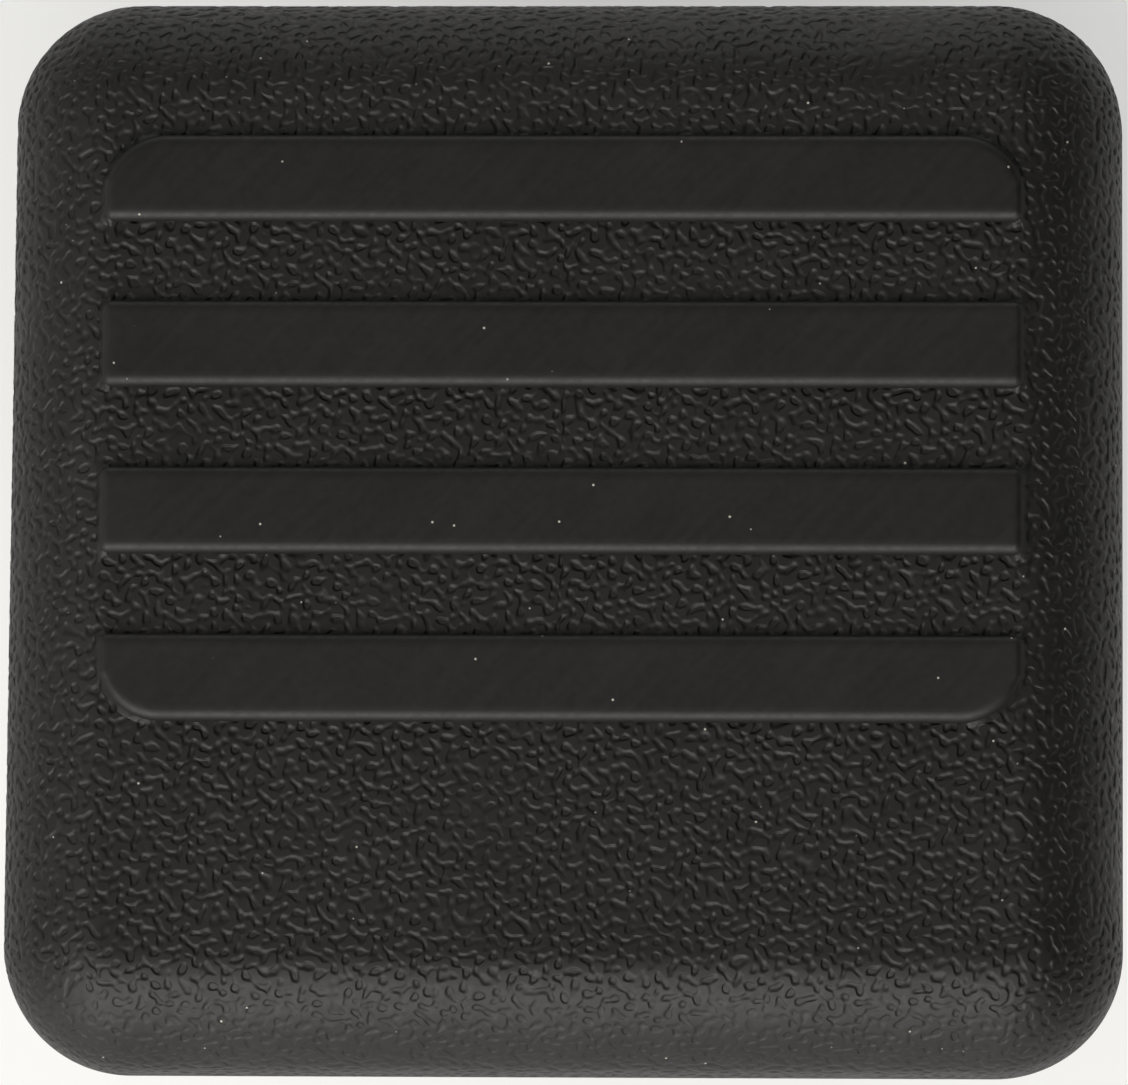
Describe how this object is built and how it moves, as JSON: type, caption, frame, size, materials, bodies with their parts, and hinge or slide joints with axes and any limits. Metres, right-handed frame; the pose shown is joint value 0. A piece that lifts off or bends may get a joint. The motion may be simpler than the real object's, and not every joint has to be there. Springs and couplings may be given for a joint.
{
  "type": "hitch receiver cover",
  "caption": "Square rubber plug cover for a tow hitch receiver: round-cornered grained cap with smooth raised bars, on a hollow finned stem that pushes into the tube.",
  "frame": {"origin": "Centre of the plug's open end, the surface that the cover stands on, under the middle of the face.", "axes": "+X runs across the face to its right, +Y up the face as the picture shows it, and +Z out of the receiver, away from the plug: the face looks along +Z."},
  "size_m": [0.074, 0.0718, 0.0463],
  "materials": {
    "moulded_rubber": "satin, moulded grain"
  },
  "bodies": {
    "root": {"receiver_cover": "moulded_rubber"}
  },
  "joints": []
}
